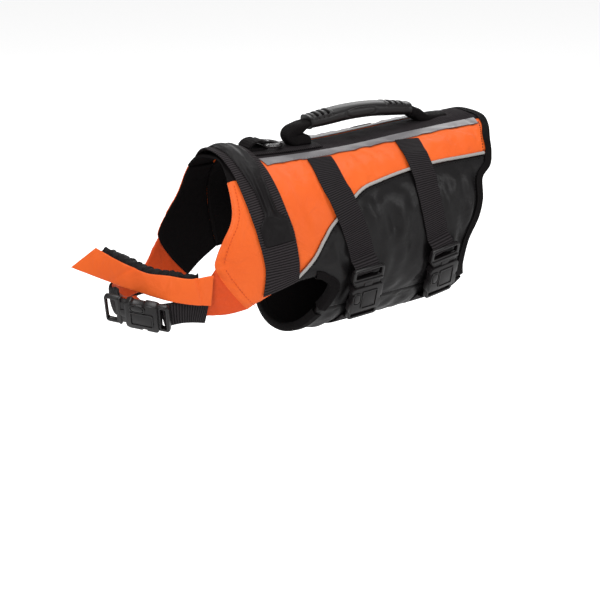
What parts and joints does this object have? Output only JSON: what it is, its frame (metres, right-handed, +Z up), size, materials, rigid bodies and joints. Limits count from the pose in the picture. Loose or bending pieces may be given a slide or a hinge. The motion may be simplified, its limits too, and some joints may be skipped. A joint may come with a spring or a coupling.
{
  "type": "dog life jacket",
  "caption": "Padded dog life jacket in orange and black, filled out as worn: foam saddle, chin float, webbing straps with side-release buckles, moulded grab handle and lead ring.",
  "frame": {"origin": "on the inner face of the spine panel, at the middle of the wearer's back", "axes": "+Z up; +Y from the neck end to the rear; +X to the jacket's left side, which has the girth buckles"},
  "size_m": [0.1852, 0.4273, 0.2179],
  "materials": {
    "mesh_cloth": "open knitted spacer cloth, matt black",
    "lining_cloth": "plain woven lining, matt black",
    "flank_cloth": "closely woven nylon with a soft sheen, black",
    "orange_cloth": "closely woven coated cloth, bright orange",
    "deep_orange_cloth": "closely woven coated cloth, reddish orange",
    "reflective_tape": "smooth retroreflective tape, mid grey",
    "piping": "satin reflective cord, light grey",
    "binding_tape": "folded woven tape, black",
    "smooth_webbing": "flat finely woven strip, black",
    "ribbed_webbing": "woven webbing with cross ribs, black",
    "buckle_plastic": "moulded, fine satin grain, charcoal black",
    "grip_rubber": "moulded, soft matt, charcoal black",
    "ring_coating": "dark smooth coating with a soft gloss"
  },
  "bodies": {
    "jacket": {"spine_panel": "mesh_cloth", "nape_collar": "lining_cloth", "belly_panel": "flank_cloth", "side_panel_left": "orange_cloth", "flank_panel_left": "flank_cloth", "shoulder_panel_left": "orange_cloth", "reflective_tape_left": "reflective_tape", "side_panel_right": "orange_cloth", "flank_panel_right": "flank_cloth", "shoulder_panel_right": "orange_cloth", "reflective_tape_right": "reflective_tape", "chest_flap_left": "deep_orange_cloth", "chest_flap_right": "deep_orange_cloth", "piping_left": "piping", "piping_right": "piping", "rear_binding": "binding_tape", "leg_binding_left": "binding_tape", "leg_binding_right": "binding_tape", "belly_front_binding": "binding_tape", "belly_rear_binding": "binding_tape", "withers_webbing": "ribbed_webbing", "nape_strip": "smooth_webbing", "spine_webbing": "ribbed_webbing", "girth_strap_front_left": "ribbed_webbing", "girth_strap_front_right": "ribbed_webbing", "girth_buckle_front_plug": "buckle_plastic", "girth_buckle_front_socket": "buckle_plastic", "girth_strap_rear_left": "ribbed_webbing", "girth_strap_rear_right": "ribbed_webbing", "girth_buckle_rear_plug": "buckle_plastic", "girth_buckle_rear_socket": "buckle_plastic", "chest_strap_left": "ribbed_webbing", "chest_strap_right": "ribbed_webbing", "chest_buckle_plug": "buckle_plastic", "chest_buckle_socket": "buckle_plastic", "chin_band": "orange_cloth", "chin_pad": "lining_cloth", "handle_core_front": "ribbed_webbing", "handle_core_rear": "ribbed_webbing", "handle_grip": "grip_rubber", "ring_tab": "ribbed_webbing"},
    "ring": {"lead_ring": "ring_coating"}
  },
  "joints": [
    {"name": "ring_swing", "type": "hinge", "parent": "jacket", "child": "ring", "pos_m": [0, -0.101, 0.0102], "axis": [1, 0, 0], "range_deg": [0, 145]}
  ]
}
